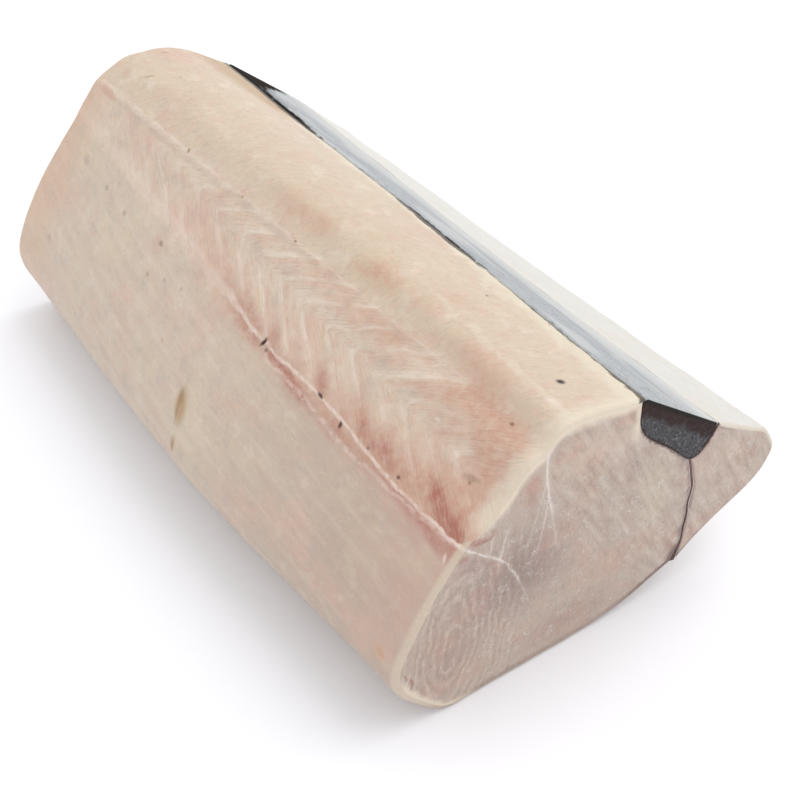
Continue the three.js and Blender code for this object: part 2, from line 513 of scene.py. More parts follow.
def band(value, middle, half, soft):  # 1 on a line of this half width, fading over 'soft'
    away = calc('ABSOLUTE', minus(value, middle))
    return smooth(away, plus(half, soft) if isSocket(half) or isSocket(soft) else half + soft, half)


def tint(factor, base, over):
    inputs = {0: factor, 6: base, 7: over}
    return addNode(treeOf(factor, base, over), 'ShaderNodeMix', inputs, data_type='RGBA').outputs[2]


def coating(look, base):  # lays the look's colours over its base, each where all its masks are high
    colours = [look[base]]

    def coat(over, *masks):
        over = look[over] if isinstance(over, str) else over
        colours.append(tint(times(*masks), colours[-1], over))
        return colours[-1]

    return coat


def between(factor, low, high):
    return addNode(treeOf(factor, low, high), 'ShaderNodeMix', {0: factor, 2: low, 3: high}).outputs[0]


def chosen(factor, low, high):  # the same for places
    inputs = {0: factor, 4: low, 5: high}
    return addNode(treeOf(factor), 'ShaderNodeMix', inputs, data_type='VECTOR').outputs[1]


def tone(red, green, blue):  # a colour as the eye picks it, for the linear sockets
    linear = [((c / 255 + 0.055) / 1.055) ** 2.4 for c in (red, green, blue)]
    return (*linear, 1)


def turned(vector, at, size, angle):  # the same place in a frame at 'at', turned and stretched
    inputs = {'Vector': vector, 'Location': (*at, 0)[:3], 'Rotation': (0, 0, angle), 'Scale': (*size, 1)[:3]}
    return addNode(treeOf(vector), 'ShaderNodeMapping', inputs, vector_type='TEXTURE').outputs[0]


def grain(vector, size, angle=0.0, detail=3.0, roughness=0.55, wobble=0.0, seed=(0, 0), dimensions='2D'):
    size = size if isinstance(size, tuple) else (size, size, size)
    inputs = {'Vector': turned(vector, seed, size, angle), 'Scale': 1.0, 'Detail': detail,
              'Roughness': roughness, 'Distortion': wobble}
    return addNode(treeOf(vector), 'ShaderNodeTexNoise', inputs, noise_dimensions=dimensions).outputs[0]


def vectorLength(vector):
    return addNode(treeOf(vector), 'ShaderNodeVectorMath', {0: vector}, operation='LENGTH').outputs['Value']


def spot(vector, at, size, angle=0.0, soft=1.0):  # an ellipse in millimetres, fading to its edge
    mapped = turned(vector, inMetres(*at), inMetres(*size), angle)
    return smooth(vectorLength(mapped), 1.0, 1.0 - soft)


def attribute(tree, name, output='Fac'):
    return addNode(tree, 'ShaderNodeAttribute', attribute_name=name).outputs[output]


def combined(x, y, z=0.0):
    return addNode(treeOf(x, y, z), 'ShaderNodeCombineXYZ', {0: x, 1: y, 2: z}).outputs[0]


def separated(vector):
    return tuple(addNode(treeOf(vector), 'ShaderNodeSeparateXYZ', {0: vector}).outputs)


def bumped(height, distance):
    return addNode(treeOf(height), 'ShaderNodeBump', {'Height': height, 'Distance': distance}).outputs[0]


def connect(socket, target):
    socket.id_data.links.new(socket, target)


underSurface = {'radius': (1.0, 0.5, 0.3), 'scale': 0.003, 'coatRoughness': 0.3}


def newMaterial(name, roughness, subsurface=0.0, coat=0.0, gloss=0.5):
    material = bpy.data.materials.new(name)
    material.use_nodes = True
    shader = material.node_tree.nodes['Principled BSDF']
    shader.inputs['Roughness'].default_value = roughness
    shader.inputs['Specular IOR Level'].default_value = gloss
    shader.inputs['Subsurface Weight'].default_value = subsurface
    shader.inputs['Subsurface Radius'].default_value = underSurface['radius']
    shader.inputs['Subsurface Scale'].default_value = underSurface['scale']
    shader.inputs['Coat Weight'].default_value = coat
    shader.inputs['Coat Roughness'].default_value = underSurface['coatRoughness']
    return material, material.node_tree, shader


def pieceMaterial(name, looks, *args, relief, **finish):
    material, tree, shader = newMaterial(name, **finish)
    colour, height = looks(tree, *args)
    connect(colour, shader.inputs['Base Color'])
    connect(bumped(height, relief), shader.inputs['Normal'])
    return material


def sectionPlane(tree):  # y and z in the section of the near cut, and both as one place
    _, y, z = separated(attribute(tree, 'section', 'Vector'))
    return y, z, combined(y, z)


# Pale flesh where it is cut. Both cuts share one look, which reads the place in the section.
# Places and sizes are in millimetres.
cutFace = {
    'base': tone(179, 162, 149), 'upper': tone(194, 174, 158), 'grey': tone(146, 125, 117),
    'low': tone(164, 137, 126), 'beige': tone(191, 178, 159), 'pink': tone(190, 153, 137),
    'mauve': tone(164, 138, 134), 'pale': tone(206, 194, 182), 'dark': tone(146, 125, 113),
    'cream': tone(220, 206, 186), 'tissue': tone(218, 208, 201), 'blood': tone(150, 88, 76),
    'under': tone(112, 86, 78), 'purple': tone(106, 84, 88), 'fringe': tone(86, 64, 58),
    'foot': tone(150, 112, 104),
    'fibreStrength': 0.52,
    'wispStrength': 0.70,
    'ringCentre': (-65, 39.5),
    'ringSize': (8, 26),           # half width and half height of a ring at 1
    'ringTurn': radians(-6),
    'ringPitch': 0.41,
    'ringStrength': 0.092,
    'zones': [                     # place, size, colour and strength
        ((-37, 60), (37, 35), 'grey', 1), ((-56, 79), (11, 11), 'mauve', 0.7),
        ((-66, 36), (26, 42), 'low', 0.75), ((-5, 106), (34, 19), 'upper', 0.85),
        ((26, 62), (13, 34), 'beige', 0.8), ((68, 56), (26, 26), 'upper', 0.6),
        ((74, 60), (12, 10), 'pink', 0.35), ((8, 36), (24, 15), 'pink', 0.6),
        ((-56, 18), (16, 12), 'pink', 0.4), ((-12, 80), (12, 14), 'pink', 0.25),
        ((-50, 56), (10, 14), 'mauve', 0.5), ((-24, 68), (10, 16), 'mauve', 0.55),
        ((-10, 16), (30, 15), 'low', 0.8), ((-32, 104), (6, 10), 'pink', 0.75),
        ((-14, 111), (9, 6), 'pink', 0.5), ((8, 114), (10, 5), 'pink', 0.4),
        ((42.5, 19), (6, 15), 'foot', 0.5)],
    'bloodSpots': [
        ((-51.5, 89.3), (5.8, 3.4), 0.8), ((-60, 85), (5, 3.6), 0.5), ((-32, 99), (3.4, 12), 0.32),
        ((-85.7, 35.2), (1.4, 4.2), 0.7), ((-83.8, 29.6), (1.6, 4.4), 0.9), ((-47, 74.5), (7, 1.6), 0.35)],
    'curves': {                    # connective tissue: path, half width and strength
        'seamFascia': ([(-62, 91.4), (-52.8, 81.6), (-43.8, 72.7), (-38.4, 63), (-32.5, 48.7), (-29.5, 38)],
                       0.34, 0.85),
        'lipFascia': ([(-27, 118.5), (-26.2, 104), (-23.5, 89.4), (-20.5, 74.1), (-16.5, 54.8)], 0.36, 0.8),
        'firstBranch': ([(-49, 77), (-48.7, 85), (-47, 92.5)], 0.22, 0.6),
        'secondBranch': ([(-44.5, 73.5), (-43.2, 83), (-40.5, 92)], 0.26, 0.6),
        'leftFan': ([(-26.4, 102), (-30, 85), (-34.5, 64)], 0.18, 0.38),
        'middleFan': ([(-24.6, 93), (-26.2, 78), (-29, 60)], 0.18, 0.42),
    },
}


def cutLook(tree, withMarks):
    look = cutFace
    y, z, plane = sectionPlane(tree)
    depth = attribute(tree, 'depth')
    cloud = grain(plane, 0.020)
    patch = grain(plane, 0.006, seed=(0.2, 0.1))
    drift = combined(sway(cloud, 0.016), sway(patch, 0.010))
    bent = addNode(tree, 'ShaderNodeVectorMath', {0: plane, 1: drift}, operation='ADD').outputs[0]

    coat = coating(look, 'base')
    for at, size, name, strength in look['zones']:
        coat(name, spot(bent, at, size), strength)
    coat('pink', smooth(cloud, 0.48, 0.74), 0.42)
    coat('pale', smooth(patch, 0.54, 0.82), 0.28)
    coat('dark', smooth(patch, 0.44, 0.20), 0.30)

    # nested rings in the thick corner, tall and narrow, so they look like stripes beside it
    mapped = turned(plane, inMetres(*look['ringCentre']), inMetres(*look['ringSize']), look['ringTurn'])
    radius = vectorLength(mapped)
    waved = plus(radius, sway(cloud, 0.75), sway(patch, 0.26))
    ring = calc('SINE', times(waved, 2 * pi / look['ringPitch']))
    broken = smooth(grain(plane, (0.004, 0.012), detail=2, seed=(0.5, 0.3)), 0.36, 0.60)
    ringed = times(smooth(radius, 4.8, 2.4), plus(times(broken, 0.8), 0.2), smooth(z, 0.092, 0.076))

    # fibres cut across, fine and leaning one way below and the other way above
    upright = grain(plane, (0.0011, 0.0042), radians(-8), detail=4, roughness=0.6, wobble=1.0)
    leaning = grain(plane, (0.018, 0.0036), radians(-63), seed=(0.1, 0.3))
    crumb = grain(plane, 0.0007, detail=2, seed=(0.6, 0.6))
    isUpper = smooth(plus(y, times(z, 0.7)), 0.020, 0.050)
    fibre = plus(times(minus(upright, 0.5), between(isUpper, 0.40, 0.26)), sway(crumb, 0.22))
    leant = times(minus(leaning, 0.5), isUpper, 0.55)
    fibre = plus(fibre, leant, times(ring, ringed, look['ringStrength']), 0.5)
    coat('pale', smooth(fibre, 0.49, 0.68), look['fibreStrength'])
    coat('dark', smooth(fibre, 0.51, 0.33), look['fibreStrength'])

    # thin wisps of white tissue, curled, in the middle of the cut
    curled = grain(plane, (0.003, 0.005), radians(20), detail=2, wobble=1.4, seed=(0.8, 0.1))
    wisp = times(band(curled, 0.52, 0.004, 0.030), smooth(patch, 0.46, 0.62))
    wisp = times(wisp, smooth(z, 0.104, 0.090), smooth(y, -0.062, -0.046))
    coat('tissue', wisp, look['wispStrength'])
    height = plus(times(fibre, 0.9), times(wisp, 0.25))

    # the rim of the cut: soft cream along the top, partly cream flesh and partly a painted highlight of the
    # rounded edge, dark along the bottom, thin cream at the heel
    loose = plus(depth, sway(patch, 0.004))
    top = times(smooth(loose, 0.0058, 0.0002), smooth(z, 0.086, 0.100), smooth(y, 0.0175, 0.012))
    coat('cream', top, 0.95)
    foot = times(smooth(loose, 0.0042, 0.0012), smooth(z, 0.024, 0.008), smooth(y, -0.072, -0.050))
    coat('under', foot, between(smooth(y, 0.010, 0.034), 0.35, 0.9))
    heel = times(smooth(loose, 0.0036, 0.0006), smooth(z, 0.040, 0.026), smooth(y, -0.050, -0.062))
    coat('cream', heel, 0.8)

    # painted shade beside the membrane and at its foot, and a ragged painted shadow under the dark muscle
    beside = times(smooth(loose, 0.0022, 0.0), smooth(z, 0.090, 0.074), smooth(y, 0.026, 0.034),
                   smooth(y, 0.062, 0.056))
    coat('purple', beside, 0.60)
    wedge = times(smooth(plus(depth, sway(patch, 0.0016)), 0.0036, 0.0002), smooth(z, 0.033, 0.016),
                  smooth(y, 0.032, 0.040), smooth(y, 0.050, 0.047))
    coat('fringe', wedge, 0.80)
    frayed = plus(depth, sway(grain(plane, 0.0013, roughness=0.7, seed=(0.9, 0.4)), 0.0036))
    bed = times(smooth(frayed, 0.0009, 0.0001), smooth(y, 0.013, 0.0165), smooth(y, 0.056, 0.053),
                smooth(z, 0.072, 0.078))
    colour = coat('fringe', bed, 0.85)

    if withMarks:
        feather = plus(times(smooth(fibre, 0.36, 0.58), 0.45), 0.55)
        for at, size, strength in look['bloodSpots']:
            coat('blood', spot(bent, at, size), feather, strength)
        wander = sway(patch, 0.0016)
        uneven = smooth(broken, -0.6, 0.7)
        for name, (_, half, strength) in look['curves'].items():
            share, off = separated(attribute(tree, name, 'Vector'))[:2]
            fade = times(smooth(share, -0.02, 0.04), smooth(share, 1.0, 0.40), uneven)
            away = calc('ABSOLUTE', plus(off, wander))
            line = times(smooth(away, half * 2.4 * mm, half * 0.3 * mm), fade, strength)
            coat('pale', smooth(away, half * 7 * mm, 0.0), fade, 0.28)
            colour = coat('tissue', line)
            height = plus(height, times(line, 0.3))
    return colour, height


fleshSides = {
    'flank': tone(198, 182, 165), 'flankNear': tone(181, 162, 146), 'middle': tone(205, 187, 168),
    'top': tone(200, 183, 162), 'pink': tone(202, 170, 153), 'grey': tone(182, 168, 157),
    'sand': tone(203, 188, 162), 'pale': tone(220, 209, 195), 'shade': tone(172, 153, 138),
    'rose': tone(192, 160, 146), 'peach': tone(204, 168, 140), 'blush': tone(188, 146, 126),
    'blood': tone(162, 104, 91), 'string': tone(224, 208, 198), 'cream': tone(214, 205, 185),
    'rim': tone(202, 187, 169), 'tan': tone(172, 141, 102), 'brown': tone(128, 96, 66),
    'nearBlack': tone(36, 26, 18), 'pit': tone(58, 16, 14), 'olive': tone(92, 84, 70),
    'bed': tone(84, 62, 56),
    'bandPitch': 0.016,       # from one white band to the next, along the block
    'bandStart': 0.013,
    'bandSlope': 1.5,         # how far a band runs back for each metre up or down the face
    'bandRound': 0.0008,
    'bandApex': 0.0215,       # how far above the seam the bands turn
    'stripeStrength': 0.14,
    'finish': {'roughness': 0.42, 'subsurface': 0.15, 'coat': 0.05, 'gloss': 0.32, 'relief': 0.0005},
}

# Small marks in millimetres, by the line they are measured from: x, the distance from the line,
# half length, half width, turn in degrees, colour and strength.
smallMarks = [
    ('fromSeam', [
        (25, 0, 3.2, 1.3, 102, 'pit', 1), (28.4, 1.6, 1.4, 1.2, 0, 'olive', 0.7),
        (61.8, -1.6, 2.6, 1.1, 8, 'pit', 0.9), (77.3, 0.8, 2.2, 1.2, 70, 'pit', 0.9),
        (93.5, -0.6, 1, 0.9, 0, 'pit', 0.5), (111.5, -1.1, 1.3, 1.1, 0, 'pit', 0.75),
        (3.2, 47, 11.5, 5.4, 77, 'tan', 0.85), (1.4, 43.5, 5, 2.6, 77, 'brown', 0.45),
        (2, 50, 6, 1.2, 77, 'brown', 0.35), (5, 64, 6.8, 2.6, 96, 'tan', 0.6),
        (5.1, 65, 4.6, 1.3, 96, 'brown', 0.45), (140, 55.6, 5.8, 4.2, 30, 'peach', 0.7),
        (140.4, 55.4, 4, 2.8, 30, 'blush', 0.6), (108.7, -25.9, 2.2, 1.2, 0, 'string', 0.5),
        (123.7, -21.7, 2.2, 1.2, 0, 'string', 0.5), (-23.3, 33.8, 2, 1.1, 50, 'blush', 0.7),
        (116.5, 15.5, 3.6, 1.1, 115, 'grey', 0.8), (-100.6, 11, 2.1, 1.8, 0, 'olive', 0.3),
        (-81.6, 11.5, 2, 1.8, 0, 'olive', 0.36), (-51.5, 6.3, 1.9, 1.6, 0, 'olive', 0.6),
        (-53, 8, 6, 5, 0, 'blush', 0.3), (-49.7, 20, 1.7, 1.5, 0, 'brown', 0.4),
        (-38.9, 15.5, 1.5, 1.3, 0, 'olive', 0.25), (-27.7, 12, 1.5, 1.3, 0, 'olive', 0.25),
        (-124, 51.6, 2.4, 2, 0, 'olive', 0.22), (-121.6, 10.5, 4, 3, 0, 'shade', 0.5),
        (134, -19.1, 5.2, 1.9, -20, 'brown', 0.38), (134.5, -17.5, 1.2, 1, 0, 'brown', 0.6)]),
    ('fromLip', [
        (132.9, 1, 1.3, 1.1, 0, 'brown', 0.8), (-68.5, -0.5, 1.6, 1.1, 60, 'brown', 0.7),
        (-29, 0, 1.3, 0.9, 60, 'brown', 0.5), (7, 0.2, 1.1, 0.9, 0, 'brown', 0.7),
        (-129, 2.4, 9.5, 3, 4, 'blush', 0.55), (-128, -9, 4, 3.4, 30, 'blush', 0.3)]),
    ('fromEdge', [
        (131.4, 23, 2.4, 1.8, -50, 'nearBlack', 0.95), (78, 13.6, 1.1, 1, 0, 'olive', 0.6),
        (-117, 48, 3.4, 1.1, -50, 'brown', 0.4), (-129, 33.5, 3, 1, -55, 'brown', 0.35),
        # the last mark, pale where the ridge reaches the near cut, is a painted highlight
        (138.5, 31.8, 4.6, 2.6, -30, 'string', 0.45)]),
    ('fromSeam', [
        (148.5, 0.2, 2.2, 1.4, 0, 'string', 0.85), (146, 7.4, 2.6, 1.2, 70, 'string', 0.6)]),
]

# Soft stains that are painted on the mesh, in millimetres: the line they are measured from, length,
# width, lean, and for each place x, the distance from the line and the strength.
stains = {
    'bloodBelow': ('fromSeam', 5.8, 2.1, radians(8), [
            (4, 0.4, 0.35), (12, 1.4, 0.5), (20, 2.4, 0.55), (30, 1.2, 0.65), (36, 1.5, 0.8),
            (43, 2, 0.9), (48, 3.1, 1), (55, 3.7, 0.9), (63, 4.2, 0.4), (71, 4.6, 0.3), (77, 2.5, 0.7),
            (79, 6.4, 0.35), (88, 4, 0.4), (97, 4, 0.45), (106, 3.6, 0.5), (115, 3.4, 0.75),
            (123, 4.2, 0.55), (130, 3.8, 0.75), (137, 5.2, 0.8), (142, 6.2, 0.85), (147, 4, 1),
            (126, 7.8, 0.25), (50, 6.6, 0.25)]),
    'bloodAbove': ('fromSeam', 5.8, 2.8, radians(34), [
            (-21, -6.4, 0.3), (-10, -5, 0.35), (4, -3.5, 0.55), (10, -4.5, 0.65), (18, -3, 0.6),
            (29, -4.2, 0.65), (24, -8, 0.35), (45, -4, 0.25), (60, -4.5, 0.75), (56, -8.5, 0.35),
            (73, -3.5, 0.35), (86, -4.5, 0.8), (80, -8.5, 0.4), (95, -3.5, 0.75), (103, -3, 0.85),
            (98, -7, 0.5), (111, -3.5, 0.45), (112, -9, 0.25), (121, -4, 0.4), (129, -5.5, 0.85),
            (125, -9, 0.45), (135, -3.5, 1), (139, -2, 1), (143, -5, 0.4), (146, -0.5, 1)]),
    'blushMiddle': ('fromLip', 7.5, 4, radians(-35), [
            (23, 4.6, 0.3), (31, 3, 0.5), (45, 5, 0.6), (56, 6, 0.6), (66, 4, 0.5), (74, 4, 0.8),
            (99, 10.2, 0.4), (105, 8.2, 0.7), (114, 4.5, 0.6), (116.5, 14.1, 0.4), (135, 7.7, 0.6),
            (141, 7.1, 0.8), (134, 4.6, 0.5), (-35, 2.8, 0.3), (80, 10, 0.3), (112, 18.9, 0.3)]),
    'blushSeam': ('fromSeam', 15, 6, radians(34), [
            (120, -8, 0.4), (137, -9, 0.5), (98, -7, 0.4), (76, -6, 0.3), (40, -6, 0.2), (146, -14, 0.25),
            (-30, -6, 0.45), (-12, -6, 0.45), (4, -6, 0.35), (110, -6.5, 0.45), (135, -30, 0.6),
            (137, -40, 0.7), (128, -36, 0.45), (139, -23, 0.5), (121, -42, 0.45), (108, -44, 0.3),
            (129, -7.5, 0.55), (143, -8.5, 0.6), (146, -4, 0.5), (60, -6, 0.35), (86, -6, 0.35)]),
    'blushTop': ('fromEdge', 10, 5, radians(-20), [
            (10, 44, 0.65), (45, 42, 0.75), (55, 41, 0.45), (-3, 46, 0.4), (-12, 44, 0.3), (79, 25, 0.3),
            (37, 24, 0.2), (100, 40, 0.35), (75, 38, 0.3), (-95, 44, 0.25), (120, 38, 0.35)]),
}

# A faint tinge along the whole seam, and how much stronger the blood gets towards the near cut
seamTinge = {'strength': 0.55, 'middle': 0.001, 'width': 0.0055, 'bloodRise': (0.80, 1.15)}

# The string of tissue along the seam, and the paler one that leaves it at the vessel: x and the
# distance from the seam's corner, in millimetres.
strings = {
    'seamString': [
        (-150, -3.4), (-112, -3.2), (-82, -2.4), (-42, -3.8), (-1, -1.8), (24, -0.1), (43, -0.6),
        (60, -1.5), (80, -0.7), (90, 0.4), (107, 1.8), (138, 1.3), (150, 0.6)],
    'sideString': [
        (20, 0.6), (26, 1.8), (32, 4), (47, 3.6), (69, 4.6), (89, 5.4), (104, 4.8), (119, 4), (139, 2.4),
        (150, 1.2)],
}


def sideLook(tree):
    look = fleshSides
    x, y, z = separated(addNode(tree, 'ShaderNodeTexCoord').outputs['Object'])
    lines = {name: attribute(tree, name) for name in ('fromSeam', 'fromLip', 'fromEdge')}
    fromSeam, fromLip, fromEdge = lines.values()
    face = combined(x, fromSeam)      # the surface laid flat, with the seam's corner at 0

    cloud = grain(face, 0.034)
    patch = grain(face, 0.010, detail=4, seed=(0.3, 0))
    small = grain(face, 0.0034, seed=(0.7, 0.2))
    rosy = grain(face, 0.0056, roughness=0.65, seed=(0.15, 0.65))
    drift = sway(patch, 0.008)
    onMiddle = smooth(plus(fromSeam, drift), 0.003, -0.002)
    onTop = smooth(plus(fromLip, drift), 0.001, -0.004)

    coat = coating(look, 'flank')
    coat('flankNear', smooth(x, -0.03, 0.15))
    coat('middle', onMiddle)
    coat('top', onTop)
    coat('pink', smooth(cloud, 0.50, 0.74), 0.55)
    coat('sand', smooth(cloud, 0.48, 0.28), 0.45)
    coat('grey', smooth(patch, 0.50, 0.76), between(onTop, 0.55, 0.12))
    coat('pale', smooth(patch, 0.46, 0.24), between(onMiddle, 0.22, 0.38))
    coat('shade', smooth(small, 0.55, 0.80), 0.28)
    coat('pink', smooth(rosy, 0.50, 0.72), between(onMiddle, 0.25, 0.45))

    # bands between the muscle segments of the middle face, bent like a V lying on its side
    across = plus(fromSeam, look['bandApex'])
    fold = calc('SQRT', plus(times(across, across), look['bandRound'] ** 2))
    fold = times(minus(fold, look['bandRound']), look['bandSlope'])
    along = plus(minus(x, fold), sway(grain(face, 0.030, detail=2), 0.008))
    step = calc('DIVIDE', minus(along, look['bandStart']), look['bandPitch'])
    saw = minus(calc('FRACT', plus(step, 0.5 + 40)), 0.5)  # the 40 keeps it above zero
    strong = smooth(grain(face, (0.014, 0.008), seed=(0.1, 0.2)), 0.34, 0.60)
    shown = times(onMiddle, minus(1.0, onTop), strong, smooth(x, -0.14, -0.06))
    pinkBetween = times(smooth(saw, 0.02, 0.16), smooth(saw, 0.49, 0.30), shown, smooth(patch, 0.30, 0.60))
    coat('pink', pinkBetween, 0.60)
    bandLine = times(smooth(saw, -0.34, 0.0), smooth(saw, 0.09, 0.0), shown)
    coat('pale', bandLine, between(smooth(x, -0.07, 0.03), 0.30, 0.60))

    # broad soft stripes down the flank
    stripe = grain(face, (0.050, 0.0042), radians(6), detail=2, seed=(0.4, 0.9))
    striped = times(smooth(fromSeam, 0.004, 0.012), smooth(fromSeam, 0.085, 0.070))
    coat('pale', smooth(stripe, 0.50, 0.72), striped, look['stripeStrength'])
    coat('shade', smooth(stripe, 0.48, 0.28), striped, look['stripeStrength'])

    # fibres: down the flank, along the bands in the middle, and short flakes on the top
    flankPlace = turned(face, (0, 0), (0.0038, 0.0016), radians(10))
    bandPlace = turned(combined(along, fromSeam), (0, 0), (0.0016, 0.0048), 0)
    topPlace = turned(combined(x, y), (0, 0), (0.0036, 0.0012), radians(54))
    place = chosen(calc('GREATER_THAN', fromSeam, 0.0), bandPlace, flankPlace)
    place = chosen(calc('LESS_THAN', fromLip, 0.0), place, topPlace)
    fibre = grain(place, 1.0, roughness=0.65, wobble=0.8)
    shownFibre = between(onMiddle, 0.12, 0.22)
    coat('pale', smooth(fibre, 0.50, 0.76), shownFibre)
    coat('shade', smooth(fibre, 0.50, 0.24), shownFibre)
    reddish = times(smooth(fibre, 0.47, 0.27), onMiddle, minus(1.0, onTop), smooth(x, -0.12, 0.02))
    coat('blush', reddish, smooth(rosy, 0.36, 0.60), 0.42)

    # blood and blushes, feathered by the fibres
    feather = smooth(plus(times(fibre, 0.5), times(small, 0.35), times(rosy, 0.15)), 0.38, 0.60)
    blush = times(attribute(tree, 'blush'), plus(times(feather, 0.5), 0.5))
    coat('blush', calc('MULTIPLY', blush, 0.85, clamp=True))
    blood = times(attribute(tree, 'blood'), plus(times(feather, 0.45), 0.58))
    coat('blood', calc('MULTIPLY', blood, 0.95, clamp=True))

    # the strings along the seam, broad and faint at the far end, and the vague line at the lip
    wander = plus(sway(small, 0.0009), sway(patch, 0.0034))
    nearness = smooth(x, -0.03, 0.02)
    uneven = smooth(patch, 0.30, 0.60)
    patchy = smooth(small, 0.30, 0.60)
    seamOff = plus(attribute(tree, 'seamString'), wander)
    sideOff = plus(attribute(tree, 'sideString'), wander)
    main = band(seamOff, 0.0, between(nearness, 0.001, 0.00016), between(nearness, 0.003, 0.00095))
    main = times(main, between(nearness, 0.20, plus(times(patchy, 0.42), 0.30)))
    sideways = times(band(sideOff, 0.0, 0.0002, 0.0013), smooth(x, 0.020, 0.034), patchy, 0.42)
    lipOff = plus(fromLip, times(wander, 0.6))
    lipLine = times(band(lipOff, 0.0, 0.0001, 0.0007), uneven, patchy, smooth(x, 0.13, 0.07), 0.42)
    # lipGlow is a painted highlight along the lip's crease, and lipShade is painted shade just below it
    lipGlow = times(band(lipOff, 0.0006, 0.0006, 0.002), smooth(x, -0.02, -0.08), uneven, 0.40)
    lipShade = times(band(lipOff, 0.0022, 0.0004, 0.0022), smooth(cloud, 0.35, 0.55), smooth(x, 0.12, 0.06))
    coat('shade', lipShade, 0.32)
    coat('pale', lipGlow)
    for line in (main, sideways, lipLine):
        coat('string', line)

    # a painted highlight along the ridge of the top: a pale band towards the near end
    ridge = times(band(plus(fromEdge, times(wander, 2)), 0.0323, 0.0002, 0.0022), smooth(x, 0.045, 0.10))
    coat('cream', ridge, uneven, 0.50)

    # towards the near cut the faces above the seam turn cream, a painted highlight along the rim, and the
    # flank turns pink
    rimward = smooth(plus(x, sway(patch, 0.010)), 0.1405, 0.149)
    coat('cream', rimward, smooth(fromSeam, -0.004, -0.012), 0.70)
    redder = times(smooth(plus(x, sway(patch, 0.05)), 0.085, 0.145), smooth(fromSeam, 0.0, 0.006))
    coat('rose', redder, smooth(fromSeam, 0.080, 0.030), 0.45)

    # beside the skin: a cream band, tan at the far end, and a dark line that is thickest there, partly
    # painted shade of the groove at the skin's edge and partly dark tissue
    farness = smooth(x, -0.045, -0.11)
    creamWidth = between(smooth(x, 0.02, 0.15), 0.006, 0.0125)
    creamBand = times(smooth(plus(fromEdge, drift), creamWidth, 0.001), onTop, between(farness, 0.75, 0.1))
    coat('cream', creamBand)
    tanWidth = between(smooth(x, -0.062, -0.115), 0.006, 0.023)
    tanPatch = smooth(plus(fromEdge, drift), tanWidth, times(tanWidth, 0.35))
    tanPatch = times(tanPatch, smooth(x, -0.062, -0.080))
    coat('tan', tanPatch, plus(times(smooth(fibre, 0.35, 0.60), 0.30), 0.52))
    ragged = sway(grain(face, (0.006, 0.0016), detail=4, roughness=0.7), 0.0052)
    dark = plus(smooth(x, -0.048, -0.074), times(smooth(x, 0.0, 0.010), smooth(x, 0.062, 0.040), 0.85),
                times(smooth(x, 0.126, 0.138), 0.6))
    lineWidth = plus(between(calc('MULTIPLY', dark, 1.0, clamp=True), 0.0002, 0.0018), times(ragged, 0.5))
    # the dark line is painted shade along the skin's edge, turning to dark tissue towards the far end
    edgeLine = smooth(calc('ABSOLUTE', fromEdge), plus(lineWidth, 0.0007), lineWidth)
    coat(tint(dark, look['olive'], look['nearBlack']), edgeLine, 0.90)

    # the flank turns warm towards the far cut, which is sawn askew
    slanted = plus(x, times(y, block['farCutSlant']))
    warm = times(smooth(plus(slanted, drift), -0.130, -0.152), minus(1.0, onTop))
    coat('peach', warm, 0.45)

    for line, marks in smallMarks:
        for markX, away, length, breadth, angle, name, strength in marks:
            at, size = (markX, away), (length, breadth)
            coat(name, spot(combined(x, lines[line]), at, size, radians(angle), soft=0.75), strength)

    # the rounded rim of the cut gets a painted cream highlight, paler than the flank, and the bed of the dark
    # muscle is dark
    rimmed = times(attribute(tree, 'cut'), smooth(fromSeam, -0.006, 0.0), smooth(z, 0.002, 0.020))
    coat('rim', smooth(rimmed, 0.0, 0.5), 0.80)
    height = plus(times(fibre, 0.6), times(main, nearness, 0.2), times(sideways, 0.1))
    return coat('bed', smooth(fromEdge, -0.0002, -0.001)), height


def smoothNoise(co, size, seed=0.0):
    return noise.noise(Vector((co.x / size + seed, co.y / size - seed, co.z / size + 2 * seed)))


def gaussian(away, width):
    return exp(-(away / width) ** 2)


def stainAt(stain, x, away):
    line, length, width, lean, places = stain
    total = 0.0
    for markX, markAway, strength in places:
        u, v = x - markX * mm, away[line] - markAway * mm
        if abs(u) < 0.03 and abs(v) < 0.03:
            run, side = u * cos(lean) + v * sin(lean), v * cos(lean) - u * sin(lean)
            total += strength * gaussian(run, length * mm) * gaussian(side, width * mm)
    return min(1.0, total)


def valueAt(points, x):  # a value that eases from one point of the list to the next
    for (x0, value0), (x1, value1) in zip(points, points[1:]):
        if x <= x1:
            share = max(0.0, (x - x0) / (x1 - x0))
            return lerp(value0, value1, share * share * (3 - 2 * share))
    return points[-1][1]


def clamped(value, low, high):  # 0 at low and 1 at high
    return min(1.0, max(0.0, (value - low) / (high - low)))


def offCurve(path, y, z):  # share of the way along a curve, and the distance to its left
    nearest = None
    last = len(path) - 2
    for i, (a, b) in enumerate(zip(path, path[1:])):
        step = b - a
        share = (Vector((y, z)) - a).dot(step) / step.length_squared
        inside = min(max(share, 0.0 if i else share), 1.0 if i < last else share)
        to = Vector((y, z)) - (a + step * min(max(share, 0.0), 1.0))
        if nearest is None or to.length < nearest[0]:
            away = (step.x * (z - a.y) - step.y * (y - a.x)) / step.length
            nearest = to.length, (i + inside) / (last + 1), away
    return nearest[1:]


relief = {
    'swell': 0.0006, 'swellSize': 0.034, 'tipSwellSize': 0.02,
    'ripple': 0.00025, 'rippleSize': 0.010,
    'seamDip': 0.00055, 'seamDipWidth': 0.0034,
    'stringRise': 0.00016, 'stringWidth': 0.0008,
    'pitDip': 0.0006, 'pitWidth': 0.0012,
    'onCut': 0.3,             # the share of the relief that is left on the cuts
}


